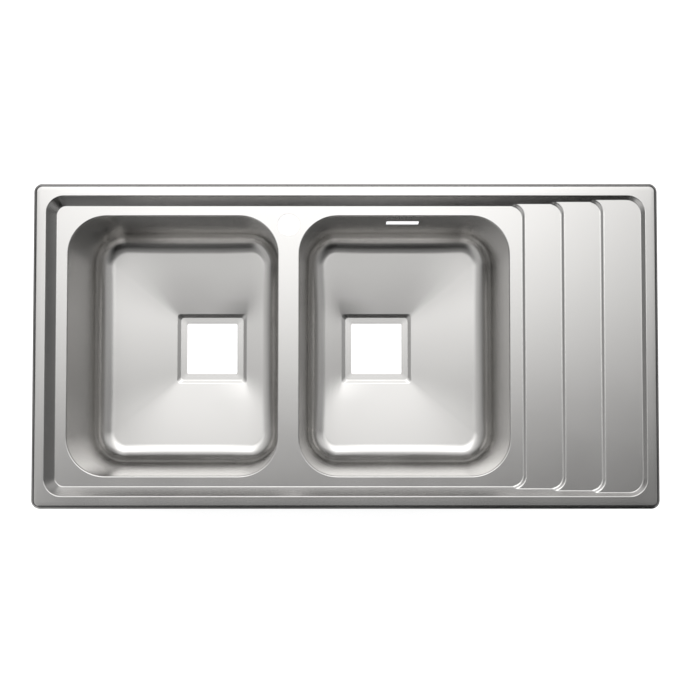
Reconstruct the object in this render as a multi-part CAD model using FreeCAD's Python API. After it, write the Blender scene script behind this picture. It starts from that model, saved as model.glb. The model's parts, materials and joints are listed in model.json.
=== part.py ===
import FreeCAD, Part
import math
import os

# Inset kitchen sink with two bowls and a stepped drainer.
# X runs along the sink towards the drainer, Y towards the tap side at the back, Z up.
# The origin is under the middle of the rim, at the level of the two sump undersides.
# Depths are measured down from the top of the rim.

# Sheet and rim
steel = 0.8
rim_length = 1000.0
rim_width = 520.0
rim_corner_radius = 13.5
rim_flat = 19.6
rim_edge_height = 4.0
rim_edge_bend = 3.6

# Band between the rim and the sunk deck
well_corner_radius = 28.5
band_slope_deg = 46.0
band_top_radius = 1.6
band_foot_radius = 1.6
deck_depth = 15.0

# Drainer: panels that step up to the right
raised_panels = 3
panel_rise = 3.0
rib_slope_deg = 45.0
rib_corner_radius = 18.5
rib_run_out = 0.3

# Bowls
bowl_length = 338.4
bowl_side_margin = 16.6
bowl_end_margin = 15.6
bowl_divider = 35.4
drainer_margin = 21.5
bowl_corner_radius = 62.0
bowl_floor_depth = 185.0
wall_draft_deg = 3.0
bowl_foot_radius = 31.0
bowl_flange = 4.0

# Bowl floors and sumps
floor_fall = 8.5
sump_size = 124.0
sump_side_margin = 67.6
sump_corner_radius = 6.0
sump_depth = 3.0
sump_draft = 5.9
sump_rim_radius = 2.5
sump_foot_radius = 3.0
waste_size = 90.0
waste_corner_radius = 3.0

# Overflow slot in the back wall of the right bowl
overflow_length = 54.0
overflow_height = 30.0
overflow_depth = 67.5
overflow_corner_radius = 3.0

# Tap hole and its stiffening plate
tap_hole_radius = 17.5
tap_hole_margin = 28.8
tap_plate_length = 72.0
tap_plate_width = 48.0
tap_plate_thickness = 2.0
plate_clearance = 1.0

# Foam seal under the rim
seal_width = 7.0

# Worktop that the sink drops into
cut_out_margin = 10.0
worktop_grip = 10.0

# Clamp brackets
bracket_width = 14.0
bracket_plate = 1.5
bracket_tab = 3.0
bracket_tab_reach = 7.0
bracket_plate_reach = 4.0
bracket_leg_gap = 7.0
screw_inboard = 1.9

# Clamp screws
screw_radius = 2.5
screw_running_gap = 0.05
screw_head_radius = 5.0
screw_head_height = 3.4
screw_slot_width = 1.4
screw_slot_depth = 1.6
screw_collar_radius = 4.0
screw_collar_height = 0.8
screw_collar_gap = 0.1
clamp_travel = 15.5
screw_top_gap = 2.2
clamp_end_gap = 0.7

# Clamp claws
claw_sheet = 2.0
claw_width = 12.0
claw_hub_radius = 7.5
claw_step_start = 11.0
claw_step_run = 6.0
claw_step_rise = 6.0
claw_tooth_height = 2.0
claw_teeth = 3

# Sound-deadening pads
pad_thickness = 2.5
floor_pad_margin = 30.0
floor_pad_corner_radius = 24.0
floor_pad_sump_gap = 5.0
side_pad_length = 190.0
side_pad_height = 56.0
side_pad_depth = 92.0
drainer_pad_share = 0.664
drainer_pad_length = 170.0

# Drainer stiffener, a top-hat bar
stiffener_length = 380.0
stiffener_sheet = 1.2
stiffener_height = 12.0
stiffener_crown_share = 0.365
stiffener_hollow_share = 0.891
stiffener_flange_share = 0.183

# Earth lug with its bolt, washers and nut
lug_sheet = 1.5
lug_width = 16.0
lug_foot = 14.0
lug_drop = 20.0
lug_margin = 30.0
lug_hole_drop = 12.0
bolt_radius = 2.5
bolt_gap = 0.05
bolt_head_across = 8.0
bolt_head_height = 3.5
bolt_length = 16.0
washer_radius = 5.0
washer_thickness = 1.0
nut_across = 8.0
nut_height = 4.0

# Overrun that carries every cut past the face it opens
overrun = 6.0

quarter_turn = 90

# Sizes worked out from the ones above
band_slope = math.radians(band_slope_deg)
rib_slope = math.radians(rib_slope_deg)
wall_draft = math.radians(wall_draft_deg)
waste_floor_depth = bowl_floor_depth + floor_fall + sump_depth
rim_top = waste_floor_depth + steel
sump_offset = bowl_length / 2 - sump_side_margin - sump_size / 2
well_edge = rim_flat + band_top_radius * math.tan(band_slope / 2)
well_half_length = rim_length / 2 - well_edge
well_half_width = rim_width / 2 - well_edge
deck_under = deck_depth + steel
band_run = deck_depth / math.tan(band_slope)
band_foot_run = band_foot_radius * math.tan(band_slope / 2)
deck_half_length = well_half_length - band_run - band_foot_run
deck_half_width = well_half_width - band_run - band_foot_run
bowl_width = 2 * (deck_half_width - bowl_end_margin)
left_bowl_x = bowl_side_margin - deck_half_length + bowl_length / 2
right_bowl_x = left_bowl_x + bowl_length + bowl_divider
divider_x = (left_bowl_x + right_bowl_x) / 2
tap_hole_y = deck_half_width - tap_hole_margin
last_panel_depth = deck_depth - raised_panels * panel_rise
drainer_right = well_half_length - last_panel_depth / math.tan(band_slope) - band_foot_run
first_rib_x = right_bowl_x + bowl_length / 2 + drainer_margin
rib_pitch = (drainer_right - first_rib_x) / raised_panels
rib_run = panel_rise / math.tan(rib_slope)
panel_flat = rib_pitch - rib_run
clamp_line = rim_flat + band_run + 2 * band_foot_run + screw_inboard
claw_reach = clamp_line - cut_out_margin + worktop_grip
tab_top = deck_under + bracket_plate + screw_top_gap + clamp_travel
tab_under = tab_top + bracket_tab
collar_top = tab_under + clamp_end_gap + clamp_travel
claw_top = collar_top + screw_collar_height + screw_collar_gap
head_top = claw_top + claw_sheet


def level(depth):
    """Height of a point that lies this far below the top of the rim."""
    return rim_top - depth


def rounded_rectangle(middle_x, middle_y, depth, half_length, half_width, radius):
    """Closed wire of four straight sides and four corner arcs, at one depth."""
    z = level(depth)
    corner_x = half_length - radius
    corner_y = half_width - radius
    edges = []
    for turn in range(4):
        start = math.radians(quarter_turn * turn)
        sign_x = (1, -1, -1, 1)[turn]
        sign_y = (1, 1, -1, -1)[turn]
        centre = FreeCAD.Vector(middle_x + sign_x * corner_x, middle_y + sign_y * corner_y, z)
        points = []
        for part in (0, 1, 2):
            angle = start + math.radians(quarter_turn / 2 * part)
            reach = FreeCAD.Vector(math.cos(angle), math.sin(angle), 0) * radius
            points.append(centre + reach)
        edges.append(points)
    wire = []
    for turn in range(4):
        points = edges[turn]
        following = edges[(turn + 1) % 4]
        wire.append(Part.Arc(points[0], points[1], points[2]).toShape())
        wire.append(Part.LineSegment(points[2], following[0]).toShape())
    return Part.Wire(wire)


def prism(outline, drop):
    """Solid that hangs straight down from an outline."""
    return Part.Face(outline).extrude(FreeCAD.Vector(0, 0, -drop))


def block(low, high):
    """Upright box between two corners given as X, Y and height."""
    size = [high[i] - low[i] for i in range(3)]
    return Part.makeBox(size[0], size[1], size[2], FreeCAD.Vector(*low))


def cylinder(radius, length, foot, direction=(0, 0, 1)):
    return Part.makeCylinder(radius, length, FreeCAD.Vector(*foot), FreeCAD.Vector(*direction))


def edges_at(shape, depth, half_length, half_width, middle=(0, 0)):
    """Edges that lie flat at this depth within a rectangle about a middle point."""
    found = []
    near = steel / 20
    for edge in shape.Edges:
        box = edge.BoundBox
        if abs(box.ZMin - level(depth)) > near or abs(box.ZMax - level(depth)) > near:
            continue
        if max(abs(box.XMin - middle[0]), abs(box.XMax - middle[0])) > half_length + near:
            continue
        if max(abs(box.YMin - middle[1]), abs(box.YMax - middle[1])) > half_width + near:
            continue
        found.append(edge)
    return found


def save(name, shape):
    solids = len(shape.Solids)
    print(name, "solids", solids, "volume", round(shape.Volume), "valid", shape.isValid())
    shape.exportStep("parts/" + name + ".step")


def rib_x(rib):
    """Place of the foot of a drainer step."""
    return first_rib_x + rib * rib_pitch


def panel_middle(rib):
    """Middle of the flat between this drainer step and the next."""
    return rib_x(rib) + rib_run + panel_flat / 2


def panel_depth(x, reach):
    """Depth of the lowest panel within reach of a place along the sink."""
    passed = 0
    for rib in range(raised_panels):
        if x - reach > rib_x(rib) + rib_run:
            passed = rib + 1
    return deck_depth - passed * panel_rise


def well_form(skin, deepest):
    """Hollow with sloping sides that sinks from the rim to the deck."""
    growth = skin * math.tan(band_slope / 2)
    sections = []
    for depth in (-overrun, deepest):
        inset = depth / math.tan(band_slope)
        half_length = well_half_length - inset + growth
        half_width = well_half_width - inset + growth
        radius = well_corner_radius - inset + growth
        sections.append(rounded_rectangle(0, 0, depth + skin, half_length, half_width, radius))
    return Part.makeLoft(sections, True, True)


def drainer_step(rib, skin):
    """Block that raises everything right of one rib by one panel rise."""
    growth = skin * math.tan(rib_slope / 2)
    low_depth = deck_depth - rib * panel_rise
    top_depth = low_depth - panel_rise
    foot_half_width = well_half_width - low_depth / math.tan(band_slope) + rib_run_out
    sections = []
    for depth in (low_depth + overrun, top_depth - overrun):
        spread = (low_depth - depth) / math.tan(rib_slope)
        right = rib_x(rib) + spread + growth
        half_length = rim_length / 2 + right
        radius = rib_corner_radius + spread + growth
        half_width = foot_half_width + spread + growth
        middle_x = right - half_length
        sections.append(rounded_rectangle(middle_x, 0, depth + skin, half_length, half_width, radius))
    left_of_rib = Part.makeLoft(sections, True, True)
    top = level(top_depth + skin)
    bottom = level(low_depth + skin + overrun / 2)
    far = (rim_length / 2 - rim_flat, well_half_width)
    raised = block((rib_x(rib) - rib_corner_radius - overrun, -far[1], bottom), (far[0], far[1], top))
    return raised.cut(left_of_rib)


def top_form(skin):
    """Everything under the upper face of the top sheet, or under its lower face."""
    half_length = rim_length / 2 - skin
    half_width = rim_width / 2 - skin
    outline = rounded_rectangle(0, 0, skin, half_length, half_width, rim_corner_radius - skin)
    form = prism(outline, 2 * deck_depth + overrun)
    rim_edges = edges_at(form, skin, half_length, half_width)
    form = form.makeFillet(rim_edge_bend - skin, rim_edges)
    form = form.cut(well_form(skin, deck_depth))
    brink = edges_at(form, skin, rim_length / 2 - rim_flat, rim_width / 2 - rim_flat)
    form = form.makeFillet(band_top_radius - skin, brink)
    foot = edges_at(form, deck_depth + skin, well_half_length, well_half_width)
    form = form.makeFillet(band_foot_radius + skin, foot)
    for rib in range(raised_panels):
        form = form.fuse(drainer_step(rib, skin))
    return form.removeSplitter()


def bowl_opening(middle_x, depth, drop, growth):
    """Upright solid over a bowl, as large as its opening or a little larger."""
    half_length = bowl_length / 2 + growth
    half_width = bowl_width / 2 + growth
    radius = bowl_corner_radius + growth
    return prism(rounded_rectangle(middle_x, 0, depth, half_length, half_width, radius), drop)


def tap_hole():
    foot = (divider_x, tap_hole_y, level(deck_under + tap_plate_thickness + overrun))
    return cylinder(tap_hole_radius, deck_under + tap_plate_thickness + 2 * overrun, foot)


def make_sink_top():
    sheet = top_form(0).cut(top_form(steel))
    below = level(rim_edge_height)
    deep = level(3 * deck_depth + overrun)
    ring = block((-rim_length, -rim_width, deep), (rim_length, rim_width, below))
    inner_half_length = rim_length / 2 - rim_flat
    inner_half_width = rim_width / 2 - rim_flat
    keep = block((-inner_half_length, -inner_half_width, deep), (inner_half_length, inner_half_width, below))
    sheet = sheet.cut(ring.cut(keep))
    keep_top = (inner_half_length, inner_half_width, level(deck_under))
    sheet = sheet.cut(block((-inner_half_length, -inner_half_width, deep), keep_top))
    for middle_x in (left_bowl_x, right_bowl_x):
        sheet = sheet.cut(bowl_opening(middle_x, 0, deck_under + overrun, 0))
    return sheet.cut(tap_hole())


def bowl_section(middle_x, depth, skin):
    inset = (depth - deck_under) * math.tan(wall_draft)
    half_length = bowl_length / 2 - inset + skin
    half_width = bowl_width / 2 - inset + skin
    return rounded_rectangle(middle_x, 0, depth, half_length, half_width, bowl_corner_radius - inset + skin)


def sump_section(sump_x, depth, skin, inset=0):
    half = sump_size / 2 + skin - inset
    return rounded_rectangle(sump_x, 0, depth, half, half, sump_corner_radius + skin)


def bowl_form(middle_x, sump_x, skin, with_sump=True):
    """Inside of a bowl, or the same form grown by the thickness of what lies round it."""
    floor_edge = bowl_floor_depth + skin
    sump_top = floor_edge + floor_fall
    walls = [bowl_section(middle_x, deck_under - overrun, skin), bowl_section(middle_x, floor_edge, skin)]
    floor = [bowl_section(middle_x, floor_edge, skin), sump_section(sump_x, sump_top, skin)]
    form = Part.makeLoft(walls, True, True).fuse(Part.makeLoft(floor, True, True))
    brink = edges_at(form, floor_edge, bowl_length / 2 + skin, bowl_width / 2 + skin, (middle_x, 0))
    form = form.makeFillet(bowl_foot_radius + skin, brink)
    if with_sump:
        sump_floor = sump_top + sump_depth
        sections = [sump_section(sump_x, sump_top, skin), sump_section(sump_x, sump_floor, skin, sump_draft)]
        sump = Part.makeLoft(sections, True, True)
        foot = edges_at(sump, sump_floor, sump_size, sump_size, (sump_x, 0))
        form = form.fuse(sump.makeFillet(sump_foot_radius + skin, foot))
        sump_rim = edges_at(form, sump_top, sump_size / 2 + skin, sump_size / 2 + skin, (sump_x, 0))
        form = form.makeFillet(sump_rim_radius - skin, sump_rim)
    return form


def waste_opening(sump_x):
    depth = bowl_floor_depth
    half = waste_size / 2
    outline = rounded_rectangle(sump_x, 0, depth, half, half, waste_corner_radius)
    return prism(outline, floor_fall + sump_depth + steel + overrun)


def overflow_slot():
    z = level(overflow_depth)
    half_length = overflow_length / 2
    half_height = overflow_height / 2
    ends = (bowl_width / 2 - overflow_height, bowl_width / 2 + overflow_height)
    low = (right_bowl_x - half_length, ends[0], z - half_height)
    slot = block(low, (right_bowl_x + half_length, ends[1], z + half_height))
    along_slot = [edge for edge in slot.Edges if edge.BoundBox.YLength > overflow_height]
    return slot.makeFillet(overflow_corner_radius, along_slot)


def make_bowl(middle_x, sump_x, has_overflow):
    shell = bowl_form(middle_x, sump_x, steel)
    flange = bowl_opening(middle_x, deck_under, steel, bowl_flange)
    shell = shell.fuse(flange)
    shell = shell.cut(bowl_form(middle_x, sump_x, 0))
    shell = shell.cut(bowl_opening(middle_x, 0, deck_under, 2 * bowl_flange))
    shell = shell.cut(waste_opening(sump_x))
    if has_overflow:
        shell = shell.cut(overflow_slot())
    return shell


def make_floor_pad(middle_x, sump_x):
    pad = bowl_form(middle_x, sump_x, steel + pad_thickness, False).cut(bowl_form(middle_x, sump_x, steel))
    half_length = bowl_length / 2 - floor_pad_margin
    half_width = bowl_width / 2 - floor_pad_margin
    depth = bowl_floor_depth - bowl_foot_radius / 2
    drop = waste_floor_depth - depth
    inset = (bowl_floor_depth - deck_under) * math.tan(wall_draft)
    size = (half_length - inset, half_width - inset, floor_pad_corner_radius)
    pad = pad.common(prism(rounded_rectangle(middle_x, 0, depth, *size), drop))
    half = sump_size / 2 + floor_pad_sump_gap
    return pad.cut(prism(rounded_rectangle(sump_x, 0, depth, half, half, sump_corner_radius), drop))


def make_side_pads(middle_x, sump_x):
    outside = bowl_form(middle_x, sump_x, steel + pad_thickness, False)
    band = outside.cut(bowl_form(middle_x, sump_x, steel, False))
    top = level(side_pad_depth)
    half = side_pad_length / 2
    pads = []
    for side in (-1, 1):
        ends = sorted((0, side * bowl_width))
        zone = block((middle_x - half, ends[0], top - side_pad_height), (middle_x + half, ends[1], top))
        pads.append(band.common(zone))
    return Part.makeCompound([solid for pad in pads for solid in pad.Solids])


def make_drainer_pads():
    pads = []
    for rib in (0, raised_panels - 1):
        middle = panel_middle(rib)
        top = level(panel_depth(middle, 0) + steel)
        half = (drainer_pad_share * panel_flat / 2, drainer_pad_length / 2)
        low = (middle - half[0], -half[1], top - pad_thickness)
        pads.append(block(low, (middle + half[0], half[1], top)))
    return Part.makeCompound(pads)


def make_rim_seal():
    half_length = rim_length / 2 - rim_edge_bend
    half_width = rim_width / 2 - rim_edge_bend
    radius = rim_corner_radius - rim_edge_bend
    drop = rim_edge_height - steel
    outer = rounded_rectangle(0, 0, steel, half_length, half_width, radius)
    inner_size = (half_length - seal_width, half_width - seal_width, radius - seal_width)
    inner = rounded_rectangle(0, 0, steel, *inner_size)
    return prism(outer, drop).cut(prism(inner, drop))


def make_tap_plate():
    top = level(deck_under)
    half = (tap_plate_length / 2, tap_plate_width / 2)
    low = (divider_x - half[0], tap_hole_y - half[1], top - tap_plate_thickness)
    plate = block(low, (divider_x + half[0], tap_hole_y + half[1], top))
    for middle_x in (left_bowl_x, right_bowl_x):
        room = bowl_opening(middle_x, 0, rim_top, bowl_flange + plate_clearance)
        plate = plate.cut(room)
    return plate.cut(tap_hole())


def extruded(points, direction):
    """Solid with straight sides from a closed row of points."""
    row = [FreeCAD.Vector(*point) for point in points]
    return Part.Face(Part.makePolygon(row + row[:1])).extrude(FreeCAD.Vector(*direction))


def make_drainer_stiffener():
    middle = panel_middle(1)
    top = level(panel_depth(middle, 0) + steel)
    half_crown = stiffener_crown_share * panel_flat / 2
    half_hollow = stiffener_hollow_share * half_crown
    flange_end = half_crown + stiffener_flange_share * panel_flat
    sheet = stiffener_sheet
    right = [
        (half_hollow, sheet - stiffener_height),
        (half_hollow, 0),
        (flange_end, 0),
        (flange_end, -sheet),
        (half_crown, -sheet),
        (half_crown, -stiffener_height),
    ]
    left = [(-x, z) for x, z in reversed(right)]
    half = stiffener_length / 2
    points = [(middle + x, -half, top + z) for x, z in right + left]
    return extruded(points, (0, stiffener_length, 0))


def clamp_places():
    """Place, outward turn and seat depth of each clamp, back row first, then front, left end, right end."""
    along = [
        left_bowl_x - bowl_length / 4,
        right_bowl_x - bowl_length / 4,
        rib_x(1) + rib_pitch / 2,
    ]
    reach = bracket_width / 2
    side_y = rim_width / 2 - clamp_line
    end_x = rim_length / 2 - clamp_line
    places = [(x, side_y, quarter_turn, panel_depth(x, reach)) for x in along]
    places += [(x, -side_y, 3 * quarter_turn, panel_depth(x, reach)) for x in along]
    places += [(-end_x, side * bowl_width / 4, 2 * quarter_turn, deck_depth) for side in (-1, 1)]
    places += [(end_x, side * bowl_width / 4, 0, last_panel_depth) for side in (-1, 1)]
    return places


def put(shape, place, turn):
    """Turn a piece that was made beside the upright axis, then move it to a clamp."""
    moved = shape.copy()
    moved.rotate(FreeCAD.Vector(0, 0, 0), FreeCAD.Vector(0, 0, 1), turn)
    moved.translate(FreeCAD.Vector(place[0], place[1], 0))
    return moved


def make_bracket(seat_depth):
    inner = -bracket_leg_gap
    outer = inner - bracket_plate
    half = bracket_width / 2
    seat = level(seat_depth + steel)
    profile = [
        (outer, seat),
        (bracket_plate_reach, seat),
        (bracket_plate_reach, seat - bracket_plate),
        (inner, seat - bracket_plate),
        (inner, level(tab_top)),
        (bracket_tab_reach, level(tab_top)),
        (bracket_tab_reach, level(tab_under)),
        (outer, level(tab_under)),
    ]
    bracket = extruded([(x, -half, z) for x, z in profile], (0, bracket_width, 0))
    hole = cylinder(screw_radius + screw_running_gap, 3 * bracket_tab, (0, 0, level(tab_under + bracket_tab)))
    return bracket.cut(hole)


def make_clamp_screw():
    head_bottom = level(head_top + screw_head_height)
    screw = cylinder(screw_radius, head_top - tab_top, (0, 0, level(head_top)))
    collar_foot = (0, 0, level(collar_top + screw_collar_height))
    screw = screw.fuse(cylinder(screw_collar_radius, screw_collar_height, collar_foot))
    head = cylinder(screw_head_radius, screw_head_height, (0, 0, head_bottom))
    rounding = screw_head_height / 3
    brink = [edge for edge in head.Edges if edge.BoundBox.ZMax < head_bottom + rounding and edge.Closed]
    head = head.makeFillet(rounding, brink)
    half_slot = screw_slot_width / 2
    arm = screw_head_radius * 2 / 3
    for reach in ((arm, half_slot), (half_slot, arm)):
        low = (-reach[0], -reach[1], head_bottom - screw_slot_depth)
        head = head.cut(block(low, (reach[0], reach[1], head_bottom + screw_slot_depth)))
    return screw.fuse(head).removeSplitter()


def make_clamp_claw():
    under = level(head_top)
    step_end = claw_step_start + claw_step_run
    tip_inner = claw_reach - claw_sheet
    lower = [(0, 0), (claw_step_start, 0), (step_end, claw_step_rise), (claw_reach, claw_step_rise)]
    tooth_top = claw_step_rise + claw_sheet + claw_tooth_height
    tip = [(claw_reach, tooth_top), (tip_inner, tooth_top), (tip_inner, claw_step_rise + claw_sheet)]
    upper = [(step_end, claw_step_rise + claw_sheet), (claw_step_start, claw_sheet), (0, claw_sheet)]
    half = claw_width / 2
    points = [(x, -half, under + z) for x, z in lower + tip + upper]
    claw = extruded(points, (0, claw_width, 0))
    claw = claw.fuse(cylinder(claw_hub_radius, claw_sheet, (0, 0, under)))
    pitch = claw_width / claw_teeth
    for notch in range(claw_teeth + 1):
        middle = notch * pitch - half
        top = under + tooth_top
        row = [
            (tip_inner - overrun / 4, middle - pitch / 2, top + claw_tooth_height / 4),
            (tip_inner - overrun / 4, middle + pitch / 2, top + claw_tooth_height / 4),
            (tip_inner - overrun / 4, middle, top - claw_tooth_height),
        ]
        claw = claw.cut(extruded(row, (claw_sheet + overrun, 0, 0)))
    room = screw_radius + screw_running_gap
    return claw.cut(cylinder(room, 3 * claw_sheet, (0, 0, under - claw_sheet))).removeSplitter()


def hexagon(across, height, foot, direction):
    """Six-sided prism along Y, measured across its flats."""
    radius = across / 2 / math.cos(math.radians(30))
    points = []
    for corner in range(6):
        angle = math.radians(60 * corner)
        points.append((foot[0] + radius * math.cos(angle), foot[1], foot[2] + radius * math.sin(angle)))
    return extruded(points, (0, direction * height, 0))


def earth_point():
    """Middle of the lug's bolt hole, on the lug's front face."""
    foot_y = lug_margin - deck_half_width
    return (divider_x, foot_y - lug_foot / 2, level(deck_under + lug_hole_drop))


def make_earth_lug():
    x, front, z = earth_point()
    half = lug_width / 2
    top = level(deck_under)
    foot = block((x - half, front, top - lug_sheet), (x + half, front + lug_foot, top))
    leg = block((x - half, front, top - lug_drop), (x + half, front + lug_sheet, top))
    hole = cylinder(bolt_radius + bolt_gap, 3 * lug_sheet, (x, front - lug_sheet, z), (0, 1, 0))
    return foot.fuse(leg).removeSplitter().cut(hole)


def make_earth_bolt():
    x, front, z = earth_point()
    head_face = front + lug_sheet
    shank = cylinder(bolt_radius, bolt_length, (x, head_face, z), (0, -1, 0))
    return shank.fuse(hexagon(bolt_head_across, bolt_head_height, (x, head_face, z), 1)).removeSplitter()


def make_earth_washers():
    x, front, z = earth_point()
    washers = []
    for place in (0, 1):
        y = front - place * washer_thickness
        ring = cylinder(washer_radius, washer_thickness, (x, y, z), (0, -1, 0))
        washers.append(ring.cut(cylinder(bolt_radius + bolt_gap, washer_thickness, (x, y, z), (0, -1, 0))))
    return Part.makeCompound(washers)


def make_earth_nut():
    x, front, z = earth_point()
    face = (x, front - 2 * washer_thickness, z)
    nut = hexagon(nut_across, nut_height, face, -1)
    return nut.cut(cylinder(bolt_radius + bolt_gap, nut_height, face, (0, -1, 0)))


os.makedirs("parts", exist_ok=True)
left_sump_x = left_bowl_x + sump_offset
right_sump_x = right_bowl_x - sump_offset
save("sink_top", make_sink_top())
save("left_bowl", make_bowl(left_bowl_x, left_sump_x, False))
save("right_bowl", make_bowl(right_bowl_x, right_sump_x, True))
save("rim_seal", make_rim_seal())
save("tap_plate", make_tap_plate())
save("drainer_stiffener", make_drainer_stiffener())
save("left_floor_pad", make_floor_pad(left_bowl_x, left_sump_x))
save("right_floor_pad", make_floor_pad(right_bowl_x, right_sump_x))
save("left_side_pads", make_side_pads(left_bowl_x, left_sump_x))
save("right_side_pads", make_side_pads(right_bowl_x, right_sump_x))
save("drainer_pads", make_drainer_pads())
save("earth_lug", make_earth_lug())
save("earth_bolt", make_earth_bolt())
save("earth_washers", make_earth_washers())
save("earth_nut", make_earth_nut())

brackets = []
screw = make_clamp_screw()
claw = make_clamp_claw()
for number, (x, y, outward, seat_depth) in enumerate(clamp_places(), start=1):
    brackets.append(put(make_bracket(seat_depth), (x, y), outward))
    save("clamp_screw_" + str(number), put(screw, (x, y), outward))
    save("clamp_claw_" + str(number), put(claw, (x, y), outward - quarter_turn))
    print("clamp", number, "at", round(x, 3), round(y, 3), "outward", outward)
save("clamp_brackets", Part.makeCompound(brackets))
print("rim top", round(rim_top, 3), "bowls at", round(left_bowl_x, 3), round(right_bowl_x, 3))
print("bowl width", round(bowl_width, 3), "tap hole at", round(divider_x, 3), round(tap_hole_y, 3))
print("ribs at", [round(rib_x(rib), 2) for rib in range(raised_panels)])
print("earth bolt at", [round(value, 3) for value in earth_point()])
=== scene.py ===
# %% [markdown]
# # An inset kitchen sink with two bowls and a stepped drainer
# The sink is pressed and welded from thin stainless sheet: one sheet makes the rim, the sunk deck and
# the drainer, and a deep-drawn bowl hangs under each opening. The construction comes ready from the
# frame. This lesson gives it the smooth bends of pressed steel, its finishes and its studio light.

import json
import math

import bmesh
import bpy
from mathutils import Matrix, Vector


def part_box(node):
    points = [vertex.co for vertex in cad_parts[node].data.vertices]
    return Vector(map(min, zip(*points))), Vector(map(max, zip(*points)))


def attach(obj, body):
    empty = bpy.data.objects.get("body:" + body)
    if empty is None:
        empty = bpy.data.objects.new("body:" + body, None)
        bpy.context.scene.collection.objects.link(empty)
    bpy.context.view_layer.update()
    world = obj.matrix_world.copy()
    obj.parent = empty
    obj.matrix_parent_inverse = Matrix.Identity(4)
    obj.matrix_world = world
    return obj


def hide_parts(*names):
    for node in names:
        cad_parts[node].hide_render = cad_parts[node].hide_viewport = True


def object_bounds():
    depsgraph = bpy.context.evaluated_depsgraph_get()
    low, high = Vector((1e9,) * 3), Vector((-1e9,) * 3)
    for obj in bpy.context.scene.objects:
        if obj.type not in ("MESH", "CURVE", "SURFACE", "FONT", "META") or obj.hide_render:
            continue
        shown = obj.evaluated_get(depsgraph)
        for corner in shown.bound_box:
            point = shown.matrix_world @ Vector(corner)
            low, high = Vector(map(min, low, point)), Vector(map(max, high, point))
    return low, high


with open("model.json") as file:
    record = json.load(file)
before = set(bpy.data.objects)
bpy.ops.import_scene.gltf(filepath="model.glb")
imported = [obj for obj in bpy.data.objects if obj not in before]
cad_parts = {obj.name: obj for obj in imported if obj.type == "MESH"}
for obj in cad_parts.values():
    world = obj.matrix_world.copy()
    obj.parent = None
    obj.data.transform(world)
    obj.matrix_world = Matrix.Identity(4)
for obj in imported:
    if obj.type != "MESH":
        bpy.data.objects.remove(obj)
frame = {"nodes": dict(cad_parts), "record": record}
cad_low, cad_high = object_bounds()
print("frame box", [round(v, 4) for v in cad_low], [round(v, 4) for v in cad_high])

# %% [markdown]
# ## Sizes
# Everything is in metres, in the frame's own axes: X along the sink towards the drainer, Y towards the
# tap side, Z up. The overall sizes are read from the frame, so that the smooth sheets stay where the
# solids are. The bends are written here, because they are what the solids leave coarse: on a pressed
# sheet the bends alone carry the bright and dark lines by which its shape is read.

# %% Sizes of the pressed sheet
STEEL = 0.0008
RIM_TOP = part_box("sink_top")[1].z
HALF_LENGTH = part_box("sink_top")[1].x
HALF_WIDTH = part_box("sink_top")[1].y
RIM_FLAT = 0.0196
RIM_TILT = math.radians(0.6)
RIM_CORNER = 0.0135
RIM_EDGE_DROP = 0.004
RIM_EDGE_REACH = 0.0056
RIM_EDGE_BEND = 0.003

WELL_CORNER = 0.0285
BAND_SLOPE = math.radians(46)
BAND_BEND = 0.0012
DECK_DEPTH = 0.015

RIBS = 3
RIB_RISE = 0.003
RIB_SLOPE = math.radians(40)
RIB_BEND = 0.004
RIB_CORNER = 0.0185
RIB_RUN_OUT = 0.0003
RIB_FADE = 0.007
DRAINER_MARGIN = 0.0215

bend_reach = BAND_BEND * math.tan(BAND_SLOPE / 2)
well_half_length = HALF_LENGTH - RIM_FLAT - bend_reach
well_half_width = HALF_WIDTH - RIM_FLAT - bend_reach
print("well", round(well_half_length, 5), round(well_half_width, 5))

# %% Sizes of the bowls
BOWL_FLANGE = 0.004
BOWL_CORNER = 0.062
BOWL_LIP_BEND = 0.0022
BOWL_FOOT_BEND = 0.031
BOWL_FLOOR_DEPTH = 0.185
WALL_DRAFT = math.radians(3)
FLOOR_FALL = 0.0085
SUMP_SIZE = 0.124
SUMP_OFFSET = 0.0396
SUMP_CORNER = 0.006
SUMP_DEPTH = 0.003
SUMP_DRAFT = 0.0059
SUMP_BEND = 0.0025
SUMP_FOOT_BEND = 0.003
SUMP_FALL = 0.0003
WASTE_SIZE = 0.090
WASTE_CORNER = 0.003
OVERFLOW_LENGTH = 0.054
OVERFLOW_HEIGHT = 0.030
OVERFLOW_DEPTH = 0.0675
OVERFLOW_CORNER = 0.003
TAP_HOLE_RADIUS = 0.0175


def bowl_place(node):
    """Middle of a bowl along X, and half its opening's length and width."""
    low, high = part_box(node)
    middle_x = (low.x + high.x) / 2
    return middle_x, (high.x - low.x) / 2 - BOWL_FLANGE, (high.y - low.y) / 2 - BOWL_FLANGE


left_x, bowl_half_length, bowl_half_width = bowl_place("left_bowl")
right_x = bowl_place("right_bowl")[0]
divider_x = (left_x + right_x) / 2
tap_low, tap_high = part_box("tap_plate")
tap_hole_y = (tap_low.y + tap_high.y) / 2
print("bowls at", round(left_x, 4), round(right_x, 4))
print("half sizes", round(bowl_half_length, 4), round(bowl_half_width, 4))

# %% [markdown]
# ## Rings and bridges
# A pressed bowl is a stack of rounded rectangles, one under another. By hand, such an outline is a
# plane with its four corners rounded by a vertex bevel and its face taken away. Two outlines are then
# joined by bridging, and the sharp edge between two bridges is rounded with an edge bevel, which is
# how the die rounds the steel. Working so keeps every face a clean four-sided one, and reflections
# run over it without a ripple.

# %% Helpers for rings
CORNER_STEPS = 20
NEAR = 0.00002


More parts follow.
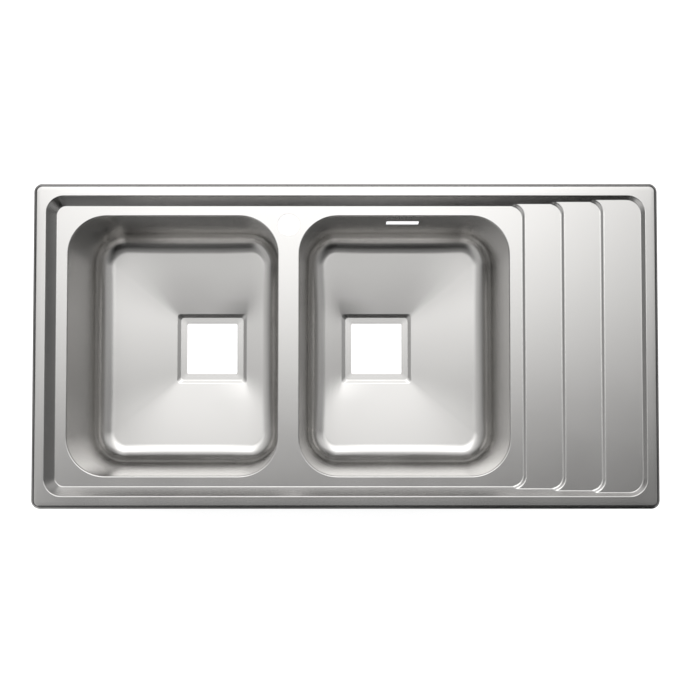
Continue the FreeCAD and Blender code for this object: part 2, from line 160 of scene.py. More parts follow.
def start_mesh(name):
    """A new object at the origin with an empty mesh, in edit mode."""
    bpy.ops.object.select_all(action="DESELECT")
    bpy.ops.mesh.primitive_plane_add(size=1, location=(0, 0, 0))
    piece = bpy.context.active_object
    piece.name = name
    piece.data.name = name
    bpy.ops.object.mode_set(mode="EDIT")
    bpy.ops.mesh.select_all(action="SELECT")
    bpy.ops.mesh.delete(type="VERT")
    return piece


def add_ring(ring):
    """A rounded rectangle of edges: middle point, half length, half width and corner radius."""
    middle, half_length, half_width, radius = ring
    bpy.ops.mesh.select_all(action="DESELECT")
    bpy.ops.mesh.primitive_plane_add(size=2, location=middle)
    bpy.ops.transform.resize(value=(half_length, half_width, 1), center_override=middle)
    bpy.ops.mesh.bevel(offset=radius, segments=CORNER_STEPS, affect="VERTICES")
    bpy.ops.mesh.delete(type="ONLY_FACE")


def ring_distance(ring, point):
    """How far a point lies outside a ring's outline, looking straight down."""
    middle, half_length, half_width, radius = ring
    out_x = abs(point.x - middle[0]) - (half_length - radius)
    out_y = abs(point.y - middle[1]) - (half_width - radius)
    return math.hypot(max(out_x, 0), max(out_y, 0)) + min(max(out_x, out_y), 0) - radius


def pick_edges(test):
    """Selects the edges whose two ends pass a test, and nothing else."""
    bpy.ops.mesh.select_mode(type="EDGE")
    bpy.ops.mesh.select_all(action="DESELECT")
    mesh = bmesh.from_edit_mesh(bpy.context.edit_object.data)
    passed = {vertex.index for vertex in mesh.verts if test(vertex.co)}
    count = 0
    for edge in mesh.edges:
        if edge.verts[0].index in passed and edge.verts[1].index in passed:
            edge.select_set(True)
            count += 1
    bmesh.update_edit_mesh(bpy.context.edit_object.data)
    return count


def on_ring(ring):
    """A test for points that lie on a ring."""
    return lambda point: abs(point.z - ring[0][2]) < NEAR and abs(ring_distance(ring, point)) < NEAR


def bridge(first, second):
    """Joins two rings with a band of four-sided faces."""
    on_first, on_second = on_ring(first), on_ring(second)
    pick_edges(lambda point: on_first(point) or on_second(point))
    bpy.ops.mesh.bridge_edge_loops()


def round_ring(ring, radius, turn, steps):
    """Rounds the edge that follows a ring, where the sheet turns by an angle."""
    pick_edges(on_ring(ring))
    bpy.ops.mesh.bevel(offset=radius * math.tan(turn / 2), segments=steps, affect="EDGES")


def add_modifier(piece, kind, **settings):
    """Adds a modifier, sets it and applies it."""
    bpy.ops.object.select_all(action="DESELECT")
    piece.select_set(True)
    bpy.context.view_layer.objects.active = piece
    modifier = piece.modifiers.new(kind.lower(), kind)
    for key, value in settings.items():
        setattr(modifier, key, value)
    bpy.ops.object.modifier_apply(modifier=modifier.name)


def finish_sheet(piece):
    """Faces the sheet upwards and gives it its thickness on the far side."""
    bpy.ops.mesh.select_all(action="SELECT")
    bpy.ops.mesh.remove_doubles(threshold=NEAR / 2)
    bpy.ops.mesh.normals_make_consistent(inside=False)
    mesh = bmesh.from_edit_mesh(piece.data)
    if sum(face.normal.z * face.calc_area() for face in mesh.faces) < 0:
        bpy.ops.mesh.flip_normals()
    bpy.ops.object.mode_set(mode="OBJECT")
    add_modifier(piece, "SOLIDIFY", thickness=STEEL, offset=-1, use_even_offset=True)


def smooth(piece, angle_deg=40):
    """Smooth shading that keeps flat faces flat and lets the bends carry the turn."""
    bpy.ops.object.select_all(action="DESELECT")
    piece.select_set(True)
    bpy.context.view_layer.objects.active = piece
    bpy.ops.object.shade_smooth_by_angle(angle=math.radians(angle_deg))
    add_modifier(piece, "WEIGHTED_NORMAL", keep_sharp=True, weight=50)
    triangles = sum(len(polygon.vertices) - 2 for polygon in piece.data.polygons)
    print(piece.name, "triangles", triangles)


# %% [markdown]
# ## The top sheet
# Rim, sloping band, deck and drainer steps are pressed in one stroke between two dies. A die is a map
# of heights, so the sheet starts as a flat grid whose lines crowd together where the steel bends, and
# each grid point then drops to the die's height. That gives the ends of the drainer steps, which fade
# into the band, the soft form that bevels on crossing edges can't reach.


# %% The die's height
def bend_height(across, radius, slope):
    """Height of a concave bend between a floor and a slope, against the distance past their corner."""
    reach = radius * math.tan(slope / 2)
    if across <= -reach:
        return 0.0
    if across >= radius * math.sin(slope) - reach:
        return across * math.tan(slope)
    return radius - math.sqrt(radius * radius - (across + reach) ** 2)


def step_height(outside):
    """Height of a drainer step against the distance past its foot line: a bend up, then a bend level."""
    half_run = RIB_RISE / math.tan(RIB_SLOPE) / 2
    if outside < half_run:
        return bend_height(outside, RIB_BEND, RIB_SLOPE)
    return RIB_RISE - bend_height(2 * half_run - outside, RIB_BEND, RIB_SLOPE)


def ease(share):
    """Runs smoothly from 0 to 1."""
    share = min(max(share, 0.0), 1.0)
    return share * share * (3 - 2 * share)


def foot_half_width(depth):
    """Half width of the well where its slope reaches a depth."""
    return well_half_width - depth / math.tan(BAND_SLOPE)


last_depth = DECK_DEPTH - RIBS * RIB_RISE
drainer_right = well_half_length - last_depth / math.tan(BAND_SLOPE) - bend_reach
first_rib_x = right_x + bowl_half_length + DRAINER_MARGIN
rib_pitch = (drainer_right - first_rib_x) / RIBS
rib_places = [first_rib_x + rib * rib_pitch for rib in range(RIBS)]


def floor_height(x, y):
    """Height of the deck or of a drainer panel, before it meets the band."""
    height = -DECK_DEPTH
    for rib, rib_x in enumerate(rib_places):
        past_x = x - (rib_x - RIB_CORNER)
        if past_x <= 0:
            continue
        depth = DECK_DEPTH - rib * RIB_RISE
        past_y = abs(y) - (foot_half_width(depth) + RIB_RUN_OUT - RIB_CORNER)
        outside = math.hypot(past_x, max(past_y, 0)) - RIB_CORNER
        height += step_height(outside) * ease(past_x / RIB_FADE)
    return height


print("drainer steps at", [round(x, 4) for x in rib_places])

# %% [markdown]
# The band runs round the well at one slope, but it starts a little steeper under the rim, where the
# punch draws the sheet over the edge of the die, and eases off towards its foot.

# %% The band's height
STEEP_RUN = 0.002
STEEP_END = 0.011
STEEP_MORE = 0.16
well = ((0, 0, 0), well_half_length, well_half_width, WELL_CORNER)


def steep_drop(inside):
    """How much deeper the band lies because it begins steeper at its brink than it ends at its foot."""
    fading = min(max(inside - STEEP_RUN, 0), STEEP_END - STEEP_RUN)
    full = min(max(inside, 0), STEEP_RUN)
    return STEEP_MORE * (full + fading - fading * fading / (2 * (STEEP_END - STEEP_RUN)))


def die_height(x, y):
    """Height of the sheet's upper face, measured from the rim."""
    outside = ring_distance(well, Vector((x, y, 0)))
    slope_height = -bend_height(-outside, BAND_BEND, BAND_SLOPE) - steep_drop(-outside)
    floor = floor_height(x, y)
    past_corner = (slope_height - floor) / math.tan(BAND_SLOPE)
    return floor + bend_height(past_corner, BAND_BEND, BAND_SLOPE)


print("deck lies", round(-die_height(0, 0), 4), "below the rim")

# %% [markdown]
# The grid needs fine lines only where something bends: along the band, over its round corners and
# across each drainer step. Between them one long cell is enough, because the steel is flat there.

# %% Grid lines
FINE = 0.0006
GRID_MARGIN = 0.012
BEND_ROOM = 0.003


def lines_between(low, high):
    """Evenly spaced lines, close enough to draw a bend."""
    count = math.ceil((high - low) / FINE)
    return [low + (high - low) * step / count for step in range(count + 1)]


grid_half_length = HALF_LENGTH - GRID_MARGIN
grid_half_width = HALF_WIDTH - GRID_MARGIN
band_outer = well_half_length + bend_reach + FINE
corner_inner = well_half_length - WELL_CORNER - FINE
x_lines = lines_between(-band_outer, -corner_inner) + lines_between(corner_inner, band_outer)
for rib_x in rib_places:
    x_lines += lines_between(rib_x - RIB_CORNER - FINE, rib_x + RIB_RISE + BEND_ROOM)
y_outer = well_half_width + bend_reach + FINE
y_inner = foot_half_width(DECK_DEPTH) - RIB_CORNER - FINE
y_lines = lines_between(-y_outer, -y_inner) + lines_between(y_inner, y_outer)
hole_left = left_x - bowl_half_length - 2 * BOWL_LIP_BEND - FINE
hole_right = first_rib_x - BEND_ROOM - 4 * FINE
x_lines += [-grid_half_length, grid_half_length, hole_left, hole_right]
y_lines += [-grid_half_width, grid_half_width]


def tidy_lines(lines):
    """Sorted lines, with any that nearly meet the one before left out."""
    kept = []
    for line in sorted(lines):
        if not kept or line - kept[-1] > FINE / 4:
            kept.append(line)
    return kept


x_lines = tidy_lines(x_lines)
y_lines = tidy_lines(y_lines)
print("grid lines", len(x_lines), "by", len(y_lines))

# %% Press the grid
bpy.ops.object.select_all(action="DESELECT")
bpy.ops.mesh.primitive_grid_add(
    x_subdivisions=len(x_lines) - 1, y_subdivisions=len(y_lines) - 1, size=2, location=(0, 0, 0)
)
sink_top = bpy.context.active_object
sink_top.name = "top_sheet"
sink_top.data.name = "top_sheet"
for vertex in sink_top.data.vertices:
    column = round((vertex.co.x + 1) / 2 * (len(x_lines) - 1))
    row = round((vertex.co.y + 1) / 2 * (len(y_lines) - 1))
    x, y = x_lines[column], y_lines[row]
    vertex.co = (x, y, RIM_TOP + die_height(x, y))
print("pressed points", len(sink_top.data.vertices))

# %% [markdown]
# The openings are next. A rectangle of grid cells is taken out of the flat deck, the outlines of
# both bowls and of the tap hole are laid in it, and one fill closes the deck between them. The fill
# lies on flat steel, so its triangles never show.

# %% Openings in the deck
deck_level = RIM_TOP - DECK_DEPTH
hole_half_width = bowl_half_width + 3 * BOWL_LIP_BEND


def lip_ring(middle_x):
    """Outline where a bowl's rolled lip meets the deck."""
    growth = BOWL_LIP_BEND
    middle = (middle_x, 0, deck_level)
    return (middle, bowl_half_length + growth, bowl_half_width + growth, BOWL_CORNER + growth)


bpy.ops.object.mode_set(mode="EDIT")
bpy.ops.mesh.select_mode(type="FACE")
bpy.ops.mesh.select_all(action="DESELECT")
mesh = bmesh.from_edit_mesh(sink_top.data)
for face in mesh.faces:
    middle = face.calc_center_median()
    face.select_set(hole_left < middle.x < hole_right and abs(middle.y) < hole_half_width)
bmesh.update_edit_mesh(sink_top.data)
bpy.ops.mesh.delete(type="FACE")
bpy.ops.mesh.select_mode(type="EDGE")
for middle_x in (left_x, right_x):
    add_ring(lip_ring(middle_x))
bpy.ops.mesh.select_all(action="DESELECT")
bpy.ops.mesh.primitive_circle_add(
    vertices=4 * CORNER_STEPS, radius=TAP_HOLE_RADIUS, location=(divider_x, tap_hole_y, deck_level)
)
hole_room = 2 * FINE


def on_deck_edge(edge):
    """True for an open edge in the deck, away from the sheet's outside."""
    if len(edge.link_faces) > 1:
        return False
    middle = (edge.verts[0].co + edge.verts[1].co) / 2
    return hole_left - hole_room < middle.x < hole_right + hole_room and abs(middle.y) < y_outer


def pick_open_edges(test):
    """Selects the edges that pass a test on the edge itself, and nothing else."""
    bpy.ops.mesh.select_all(action="DESELECT")
    mesh = bmesh.from_edit_mesh(bpy.context.edit_object.data)
    for edge in mesh.edges:
        if test(edge):
            edge.select_set(True)
    bmesh.update_edit_mesh(bpy.context.edit_object.data)


pick_open_edges(on_deck_edge)
bpy.ops.mesh.fill(use_beauty=True)
print("openings from", round(hole_left, 4), "to", round(hole_right, 4))

# %% [markdown]
# The rim gets its round corners in the same way. Its turned-down edge, which covers the seal, is one
# more ring, a little lower and further out, bridged and bevelled. The rim also leans outwards by about
# half a degree, so that only its edge presses on the worktop.

# %% Rim
RIM_EDGE_STEPS = 4
rim_edge = (
    (0, 0, RIM_TOP),
    HALF_LENGTH - RIM_EDGE_REACH,
    HALF_WIDTH - RIM_EDGE_REACH,
    RIM_CORNER - RIM_EDGE_REACH,
)
rim_foot = ((0, 0, RIM_TOP - RIM_EDGE_DROP), HALF_LENGTH, HALF_WIDTH, RIM_CORNER)
add_ring(rim_edge)


def on_rim_gap(edge):
    """True for an open edge between the pressed grid and the outline of the rim."""
    place = edge.verts[0].co
    past_grid = abs(place.x) > grid_half_length - NEAR or abs(place.y) > grid_half_width - NEAR
    return len(edge.link_faces) < 2 and abs(place.z - RIM_TOP) < NEAR and past_grid


pick_open_edges(on_rim_gap)
bpy.ops.mesh.fill(use_beauty=True)
add_ring(rim_foot)
bridge(rim_edge, rim_foot)
round_ring(rim_edge, RIM_EDGE_BEND, math.atan2(RIM_EDGE_DROP, RIM_EDGE_REACH), RIM_EDGE_STEPS)
mesh = bmesh.from_edit_mesh(sink_top.data)
for vertex in mesh.verts:
    outside = ring_distance(well, Vector((vertex.co.x, vertex.co.y, 0)))
    vertex.co.z -= max(outside - bend_reach, 0) * math.tan(RIM_TILT)
bmesh.update_edit_mesh(sink_top.data)
finish_sheet(sink_top)
smooth(sink_top)
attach(sink_top, "sink")
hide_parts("sink_top")

# %% [markdown]
# ## The bowls
# Each bowl is drawn from one blank: a rolled lip, walls with a little draft, a wide round foot, four
# floor faces that fall to a square sump, and the waste opening in its middle. Rings stand for the
# lines where two of these meet, and a bevel then rounds each line by the radius of its bend.


# %% Helpers for a bowl's floor
FLOOR_LINE_SHARES = (0.30, 0.50, 0.70, 0.85)
FLOOR_CUTS = 16
FLOOR_SOFT_CORNER = 0.118
LONG_EDGE = 0.02
FOOT_ROOM = 0.0005


def ring_between(outer, inner, share):
    """A ring part of the way from one ring to another."""
    middle = tuple(Vector(outer[0]).lerp(Vector(inner[0]), share))
    return (middle, *(start + (end - start) * share for start, end in zip(outer[1:], inner[1:])))


def shrunk(ring, inset, drop):
    """A ring that lies inside another and a little lower."""
    middle, half_length, half_width, radius = ring
    lower = (middle[0], middle[1], middle[2] - drop)
    return (lower, half_length - inset, half_width - inset, radius - inset)


def cut_long_edges():
    """Divides the long straight edges of all rings, so that the floor can bend between them."""

    def long_and_level(edge):
        return edge.calc_length() > LONG_EDGE and edge.verts[0].co.z == edge.verts[1].co.z

    pick_open_edges(long_and_level)
    bpy.ops.mesh.subdivide(number_cuts=FLOOR_CUTS)


def drop_floor(floor_edge, sump_rim):
    """Lets each floor point fall by how far it is from the wall, against how far it is from the sump."""
    soft_edge = (*floor_edge[:3], FLOOR_SOFT_CORNER)
    mesh = bmesh.from_edit_mesh(bpy.context.edit_object.data)
    for vertex in mesh.verts:
        from_wall = max(-ring_distance(soft_edge, vertex.co), 0)
        from_sump = ring_distance(sump_rim, vertex.co)
        if ring_distance(floor_edge, vertex.co) < -NEAR and from_sump > NEAR:
            vertex.co.z = floor_edge[0][2] - FLOOR_FALL * from_wall / (from_wall + from_sump)
    bmesh.update_edit_mesh(bpy.context.edit_object.data)


# %% [markdown]
# The rings go from the lip on the deck down to the waste opening. The floor falls from the wall to the
# sump, and its four faces meet in creases that are sharp near the sump and fade out towards the walls,
# because the punch only presses hard in the middle.

# %% Draw both bowls
SUMP_STEPS = 5
FOOT_STEPS = 18
LIP_STEPS = 6


def build_bowl(name, middle_x, sump_x):
    """One bowl from its lip to its waste opening, as a sheet with its thickness below."""
    draft_run = (BOWL_FLOOR_DEPTH - DECK_DEPTH) * math.tan(WALL_DRAFT)
    floor_level = RIM_TOP - BOWL_FLOOR_DEPTH
    sump_level = floor_level - FLOOR_FALL
    sump_floor = sump_level - SUMP_DEPTH
    half_sump = SUMP_SIZE / 2
    mouth = ((middle_x, 0, deck_level), bowl_half_length, bowl_half_width, BOWL_CORNER)
    floor_edge = (
        (middle_x, 0, floor_level),
        bowl_half_length - draft_run,
        bowl_half_width - draft_run,
        BOWL_CORNER - draft_run,
    )
    sump_rim = ((sump_x, 0, sump_level), half_sump, half_sump, SUMP_CORNER)
    half_foot = half_sump - SUMP_DRAFT
    sump_foot = ((sump_x, 0, sump_floor + SUMP_FALL), half_foot, half_foot, SUMP_CORNER)
    waste = ((sump_x, 0, sump_floor), WASTE_SIZE / 2, WASTE_SIZE / 2, WASTE_CORNER)
    wall_turn = math.radians(90) - WALL_DRAFT
    foot_run = BOWL_FOOT_BEND * math.tan(wall_turn / 2) + FOOT_ROOM
    foot_end = shrunk(floor_edge, foot_run, FOOT_ROOM)
    floor_lines = [ring_between(foot_end, sump_rim, share) for share in FLOOR_LINE_SHARES]
    rings = [lip_ring(middle_x), mouth, floor_edge, foot_end, *floor_lines, sump_rim, sump_foot, waste]
    bowl = start_mesh(name)
    for ring in rings:
        add_ring(ring)
    for upper, lower in zip(rings, rings[1:]):
        bridge(upper, lower)
    cut_long_edges()
    drop_floor(floor_edge, sump_rim)
    sump_turn = math.atan2(SUMP_DEPTH, SUMP_DRAFT)
    round_ring(sump_foot, SUMP_FOOT_BEND, sump_turn, SUMP_STEPS)
    round_ring(sump_rim, SUMP_BEND, sump_turn, SUMP_STEPS)
    round_ring(floor_edge, BOWL_FOOT_BEND, wall_turn, FOOT_STEPS)
    round_ring(mouth, BOWL_LIP_BEND, wall_turn, LIP_STEPS)
    finish_sheet(bowl)
    return bowl


left_bowl = build_bowl("left_bowl_shell", left_x, left_x + SUMP_OFFSET)
right_bowl = build_bowl("right_bowl_shell", right_x, right_x - SUMP_OFFSET)
print("bowl points", len(left_bowl.data.vertices), len(right_bowl.data.vertices))

# %% [markdown]
# The overflow slot is punched through the back wall of the right bowl. A block with rounded edges is
# the punch, and a boolean difference is the stroke.

# %% Punch the overflow slot
bpy.ops.object.select_all(action="DESELECT")
slot_middle = (right_x, bowl_half_width, RIM_TOP - OVERFLOW_DEPTH)
bpy.ops.mesh.primitive_cube_add(size=1, location=(0, 0, 0))
punch = bpy.context.active_object
bpy.ops.object.mode_set(mode="EDIT")
punch_size = (OVERFLOW_LENGTH, 2 * OVERFLOW_HEIGHT, OVERFLOW_HEIGHT)
bpy.ops.transform.resize(value=punch_size, center_override=(0, 0, 0))
bpy.ops.transform.translate(value=slot_middle)
bpy.ops.mesh.select_mode(type="EDGE")
bpy.ops.mesh.select_all(action="DESELECT")
mesh = bmesh.from_edit_mesh(punch.data)
for edge in mesh.edges:
    run = edge.verts[0].co - edge.verts[1].co
    edge.select_set(abs(run.y) > OVERFLOW_HEIGHT)
bmesh.update_edit_mesh(punch.data)
bpy.ops.mesh.bevel(offset=OVERFLOW_CORNER, segments=CORNER_STEPS // 4, affect="EDGES")
bpy.ops.object.mode_set(mode="OBJECT")
add_modifier(right_bowl, "BOOLEAN", object=punch, operation="DIFFERENCE", solver="EXACT")
bpy.data.objects.remove(punch)

# %% [markdown]
# Both bowls ride with the sink's body and take the place of their solids.

# %% Put the bowls in their place
for bowl, node in ((left_bowl, "left_bowl"), (right_bowl, "right_bowl")):
    smooth(bowl)
    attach(bowl, "sink")
    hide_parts(node)

# %% [markdown]
# ## Finishes
# A node group holds each effect that several finishes share. The grain of satin steel is a noise
# stretched along the polishing direction, which gives a height for the bump and a mask that shifts the
# roughness a little. The shader itself stays in each material.


# %% Node helpers
def new_group(name, inputs, outputs):
    """A node group with named sockets, and its two end nodes."""
    group = bpy.data.node_groups.new(name, "ShaderNodeTree")
    for socket, kind, value in inputs:
        made = group.interface.new_socket(socket, in_out="INPUT", socket_type=kind)
        made.default_value = value
    for socket, kind in outputs:
        group.interface.new_socket(socket, in_out="OUTPUT", socket_type=kind)
    return group, group.nodes.new("NodeGroupInput"), group.nodes.new("NodeGroupOutput")


def map_range(tree, value, low, high, to_low, to_high):
    """Stretches a value from one range to another."""
    node = tree.nodes.new("ShaderNodeMapRange")
    node.inputs["From Min"].default_value = low
    node.inputs["From Max"].default_value = high
    node.inputs["To Min"].default_value = to_low
    node.inputs["To Max"].default_value = to_high
    tree.links.new(value, node.inputs["Value"])
    return node.outputs["Result"]


def build_grain_group():
    """Fine polishing lines, as a height, and slow patches, as a mask."""
    inputs = [("Stretch", "NodeSocketVector", (8, 260, 260)), ("Patch Scale", "NodeSocketFloat", 9.0)]
    outputs = [("Height", "NodeSocketFloat"), ("Patches", "NodeSocketFloat")]
    group, inside, outside = new_group("polishing grain", inputs, outputs)
    place = group.nodes.new("ShaderNodeTexCoord")
    stretch = group.nodes.new("ShaderNodeVectorMath")
    stretch.operation = "MULTIPLY"
    group.links.new(place.outputs["Object"], stretch.inputs[0])
    group.links.new(inside.outputs["Stretch"], stretch.inputs[1])
    lines = group.nodes.new("ShaderNodeTexNoise")
    lines.inputs["Scale"].default_value = 1.0
    lines.inputs["Detail"].default_value = 2.0
    group.links.new(stretch.outputs["Vector"], lines.inputs["Vector"])
    patches = group.nodes.new("ShaderNodeTexNoise")
    patches.inputs["Detail"].default_value = 3.0
    group.links.new(place.outputs["Object"], patches.inputs["Vector"])
    group.links.new(inside.outputs["Patch Scale"], patches.inputs["Scale"])
    group.links.new(lines.outputs["Fac"], outside.inputs["Height"])
    group.links.new(patches.outputs["Fac"], outside.inputs["Patches"])
    return group


grain_group = build_grain_group()
print("node group", grain_group.name)

# %% [markdown]
# Kitchen steel is brushed and then rolled once more, which leaves a satin that mirrors large soft
# shapes only. The same build serves the zinc plating on the clamps, with a duller and more uneven gloss.


# %% Satin steel
def satin_steel(name, dark, light, smooth_value, rough_value, grain_depth):
    """Satin stainless steel: a warm grey metal with polishing lines and slow changes of gloss."""
    material = bpy.data.materials.new(name)
    material.use_nodes = True
    tree = material.node_tree
    shader = tree.nodes["Principled BSDF"]
    shader.inputs["Metallic"].default_value = 1.0
    grain = tree.nodes.new("ShaderNodeGroup")
    grain.node_tree = grain_group
    colour = tree.nodes.new("ShaderNodeMix")
    colour.data_type = "RGBA"
    colour.inputs[6].default_value = (*dark, 1)
    colour.inputs[7].default_value = (*light, 1)
    tree.links.new(grain.outputs["Patches"], colour.inputs["Factor"])
    tree.links.new(colour.outputs[2], shader.inputs["Base Color"])
    rough = map_range(tree, grain.outputs["Patches"], 0.3, 0.7, smooth_value, rough_value)
    tree.links.new(rough, shader.inputs["Roughness"])
    bump = tree.nodes.new("ShaderNodeBump")
    bump.inputs["Strength"].default_value = 0.15
    bump.inputs["Distance"].default_value = grain_depth
    tree.links.new(grain.outputs["Height"], bump.inputs["Height"])
    tree.links.new(bump.outputs["Normal"], shader.inputs["Normal"])
    return material


top_steel = satin_steel("satin steel top", (0.70, 0.69, 0.675), (0.74, 0.73, 0.715), 0.235, 0.268, 0.00004)
bowl_steel = satin_steel("satin steel bowls", (0.68, 0.67, 0.655), (0.72, 0.71, 0.695), 0.235, 0.270, 0.00004)
zinc = satin_steel("zinc plated steel", (0.50, 0.53, 0.55), (0.66, 0.67, 0.64), 0.30, 0.48, 0.00003)
print("metals", top_steel.name, bowl_steel.name, zinc.name, sep=", ")

# %% [markdown]
# Under the sink are a foam strip that seals the rim and pads that keep running water from drumming.
# Both are dark and matt, and differ in the size of their pores.


# %% Foam and damping pads
def soft_black(name, dark, light, rough_value, spot_scale, depth):
    """A matt dark material with a pebbled face."""
    material = bpy.data.materials.new(name)
    material.use_nodes = True
    tree = material.node_tree
    shader = tree.nodes["Principled BSDF"]
    place = tree.nodes.new("ShaderNodeTexCoord")
    spots = tree.nodes.new("ShaderNodeTexNoise")
    spots.inputs["Scale"].default_value = spot_scale
    spots.inputs["Detail"].default_value = 4.0
    tree.links.new(place.outputs["Object"], spots.inputs["Vector"])
    colour = tree.nodes.new("ShaderNodeMix")
    colour.data_type = "RGBA"
    colour.inputs[6].default_value = (*dark, 1)
    colour.inputs[7].default_value = (*light, 1)
    tree.links.new(spots.outputs["Fac"], colour.inputs["Factor"])
    tree.links.new(colour.outputs[2], shader.inputs["Base Color"])
    rough = map_range(tree, spots.outputs["Fac"], 0.3, 0.7, rough_value - 0.06, rough_value + 0.06)
    tree.links.new(rough, shader.inputs["Roughness"])
    bump = tree.nodes.new("ShaderNodeBump")
    bump.inputs["Strength"].default_value = 0.5
    bump.inputs["Distance"].default_value = depth
    tree.links.new(spots.outputs["Fac"], bump.inputs["Height"])
    tree.links.new(bump.outputs["Normal"], shader.inputs["Normal"])
    return material


foam = soft_black("seal foam", (0.012, 0.012, 0.013), (0.035, 0.035, 0.037), 0.88, 900.0, 0.0003)
damping = soft_black("damping pad", (0.030, 0.030, 0.032), (0.060, 0.060, 0.063), 0.75, 260.0, 0.0003)
print("soft finishes", foam.name, damping.name, sep=", ")

# %% [markdown]
# The record names a finish for every piece, so one loop can dress them all.

# %% Give every piece its finish
finishes = {"plated_steel": zinc, "plated_fastener": zinc, "seal_foam": foam, "damping_pad": damping}
slots = {row["node"]: row["material_slot"] for row in frame["record"]["subparts"]}


def dress(piece, material):
    """Gives a piece one material in place of any it had."""
    piece.data.materials.clear()
    piece.data.materials.append(material)


dress(sink_top, top_steel)
dress(left_bowl, bowl_steel)
dress(right_bowl, bowl_steel)
for node, piece in frame["nodes"].items():
    if slots[node] in finishes:
        dress(piece, finishes[slots[node]])
print("dressed", len(frame["nodes"]), "nodes")

# %% [markdown]
# ## Floor, light and camera
# Metal shows its surroundings, so the studio matters as much as the steel. The world is a large soft
# light overhead that begins above the sink and runs to the back, a pale wall behind, two softer panels
# at the sides, and darkness in front, where two dim things stand that streak the back band. A direction
# is told by two angles from the zenith, one towards the back and one towards the drainer's side, and
# each light is a curve of brightness over one of them.

# %% Angles of a direction
world = bpy.data.worlds.new("studio")
bpy.context.scene.world = world
world.use_nodes = True
sky = world.node_tree
sky.nodes.clear()
direction = sky.nodes.new("ShaderNodeTexCoord")
split = sky.nodes.new("ShaderNodeSeparateXYZ")
sky.links.new(direction.outputs["Generated"], split.inputs["Vector"])


def sky_math(operation, first, second=None):
    """One sum over two values, each a number or another node's output."""
    node = sky.nodes.new("ShaderNodeMath")
    node.operation = operation
    for socket, value in zip(node.inputs, (first, second)):
        if value is None:
            continue
        if isinstance(value, (int, float)):
            socket.default_value = value
        else:
            sky.links.new(value, socket)
    return node.outputs["Value"]


def sky_share(turn):
    """Where an angle from the zenith lies between two opposite horizons, from 0 to 1."""
    share = sky_math("MULTIPLY_ADD", turn, 1 / math.pi)
    share.node.inputs[2].default_value = 0.5
    return share


side_way, back_way, up_way = split.outputs["X"], split.outputs["Y"], split.outputs["Z"]
back_share = sky_share(sky_math("ARCTAN2", back_way, sky_math("ABSOLUTE", up_way)))
side_share = sky_share(sky_math("ARCSINE", side_way))
print("world", world.name, "reads", len(sky.nodes), "nodes")

# %% [markdown]
# The overhead light is the product of two curves, one from front to back and one from side to side.
# Stops are pairs of an angle in degrees and a brightness, where 1 is white.

# %% Overhead light
FULL_LIGHT = 3.0
FULL_ARC_DEG = 180


def light_curve(share, stops):
    """Brightness along an arc of sky, smooth through its stops."""
    ramp = sky.nodes.new("ShaderNodeValToRGB")
    ramp.color_ramp.interpolation = "EASE"
    elements = ramp.color_ramp.elements
    for _ in stops[2:]:
        elements.new(1.0)
    for element, (turn, level) in zip(elements, stops):
        grey = level / FULL_LIGHT
        element.position = 0.5 + turn / FULL_ARC_DEG
        element.color = (grey, grey, grey, 1)
    sky.links.new(share, ramp.inputs["Fac"])
    return sky_math("MULTIPLY", ramp.outputs["Color"], FULL_LIGHT)


along_stops = [(-75, 0.0), (-40, 0.01), (-18, 0.215), (-6, 0.18), (6, 1.43), (20, 2.12)]
along_stops += [(42, 2.1), (56, 0.66), (76, 0.98), (88, 0.26)]
across_stops = [(-56, 0.0), (-30, 0.11), (-10, 1.0), (6, 1.0), (24, 0.43), (52, 0.16), (78, 0.0)]
along = light_curve(back_share, along_stops)
across = light_curve(side_share, across_stops)
overhead = sky_math("MULTIPLY", along, across)
print("overhead light at its brightest", max(level for _, level in along_stops))

# %% [markdown]
# The side panels give the bowls' walls and the drainer's steps their light. A lower one on the left
# reaches only what leans forward. The two dim things in front are masked to the front horizon.

# %% Panels and things in front
panel_stops = [(-78, 0.19), (-66, 0.19), (-56, 0.38), (-30, 0.51), (-10, 0.0), (24, 0.0)]
panel_stops += [(52, 0.26), (78, 0.10)]
side_panels = light_curve(side_share, panel_stops)
front_mask = light_curve(back_share, [(-60, 1.0), (-35, 0.0)])
front_stops = [(-20, 0.08), (-13.5, 0.02), (-10, 0.2), (-6, 0.0)]
front_stops += [(-1.5, 0.04), (1, 0.32), (4, 0.02), (17, 0.0)]
front_things = sky_math("MULTIPLY", front_mask, light_curve(side_share, front_stops))
low_mask = light_curve(back_share, [(-12, 1.0), (-2, 0.0)])
low_stops = [(-84, 0.0), (-70, 0.13), (-50, 0.13), (-30, 0.0)]
low_panel = sky_math("MULTIPLY", low_mask, light_curve(side_share, low_stops))
light = sky_math("ADD", overhead, side_panels)
light = sky_math("ADD", light, front_things)
light = sky_math("ADD", light, low_panel)
rays = sky.nodes.new("ShaderNodeLightPath")
seen = sky_math("MAXIMUM", light, rays.outputs["Is Camera Ray"])
background = sky.nodes.new("ShaderNodeBackground")
background.inputs["Color"].default_value = (1, 1, 1, 1)
sky.links.new(seen, background.inputs["Strength"])
world_output = sky.nodes.new("ShaderNodeOutputWorld")
sky.links.new(background.outputs["Background"], world_output.inputs["Surface"])
print("light curves", sum(node.type == "VALTORGB" for node in sky.nodes))

# %% [markdown]
# The floor is white where the camera sees it, and a middle grey where the steel mirrors it, so that the
# turned-down edge draws a dark outline on the white ground.

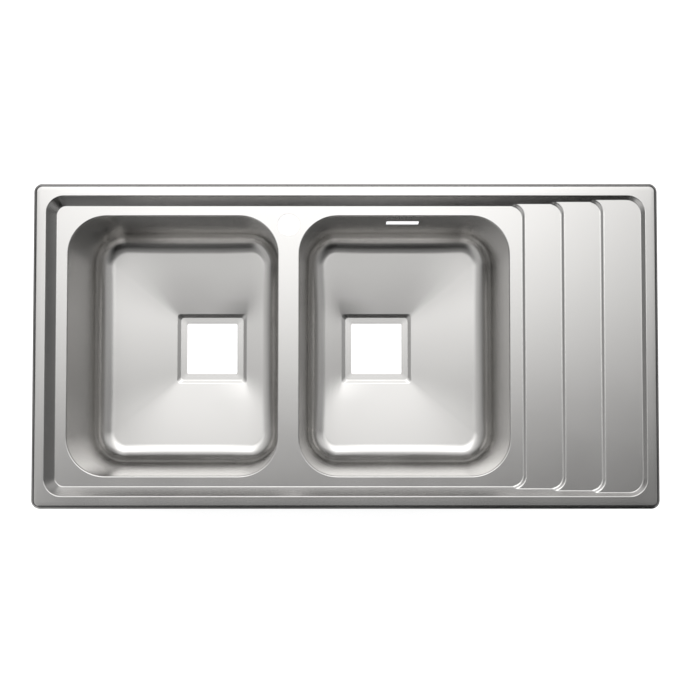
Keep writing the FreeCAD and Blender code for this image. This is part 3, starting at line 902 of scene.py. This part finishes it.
# %% Pale floor
FLOOR_SIZE = 30.0
FLOOR_GLOW = 0.8
FLOOR_MIRRORED = (0.42, 0.42, 0.42, 1)
FLOOR_SEEN = (0.85, 0.85, 0.85, 1)
bpy.ops.object.select_all(action="DESELECT")
bpy.ops.mesh.primitive_plane_add(size=FLOOR_SIZE, location=(0, 0, cad_low.z))
floor = bpy.context.active_object
floor.name = "floor"
floor_paint = bpy.data.materials.new("pale floor")
floor_paint.use_nodes = True
tree = floor_paint.node_tree
shader = tree.nodes["Principled BSDF"]
shader.inputs["Roughness"].default_value = 0.9
shader.inputs["Emission Color"].default_value = (1, 1, 1, 1)
rays = tree.nodes.new("ShaderNodeLightPath")
lift = tree.nodes.new("ShaderNodeMath")
lift.operation = "MULTIPLY"
lift.inputs[1].default_value = FLOOR_GLOW
tree.links.new(rays.outputs["Is Camera Ray"], lift.inputs[0])
tree.links.new(lift.outputs["Value"], shader.inputs["Emission Strength"])
paint = tree.nodes.new("ShaderNodeMix")
paint.data_type = "RGBA"
paint.inputs[6].default_value = FLOOR_MIRRORED
paint.inputs[7].default_value = FLOOR_SEEN
tree.links.new(rays.outputs["Is Camera Ray"], paint.inputs["Factor"])
tree.links.new(paint.outputs[2], shader.inputs["Base Color"])
dress(floor, floor_paint)
print("floor at", round(cad_low.z, 4))

# %% [markdown]
# The camera looks down from about one and a half metres above the rim, with a slight lean and a small
# shift that bring the outline to the place that it has in the photograph.

# %% Camera
CAMERA_RISE = 1.5495
CAMERA_FORWARD = 0.0487
CAMERA_LENS = 50
CAMERA_SENSOR = 36
CAMERA_SHIFT = (0.0065, -0.0066)
CAMERA_REACH = (0.05, 60)
camera_data = bpy.data.cameras.new("camera")
camera = bpy.data.objects.new("camera", camera_data)
bpy.context.scene.collection.objects.link(camera)
camera.location = (0, -CAMERA_FORWARD, RIM_TOP + CAMERA_RISE)
camera.rotation_euler = (math.atan2(CAMERA_FORWARD, CAMERA_RISE), 0, 0)
camera_data.lens = CAMERA_LENS
camera_data.sensor_width = CAMERA_SENSOR
camera_data.shift_x, camera_data.shift_y = CAMERA_SHIFT
camera_data.clip_start, camera_data.clip_end = CAMERA_REACH
bpy.context.scene.camera = camera
bpy.context.scene.view_settings.view_transform = "Standard"
print("camera at", [round(v, 4) for v in camera.location])
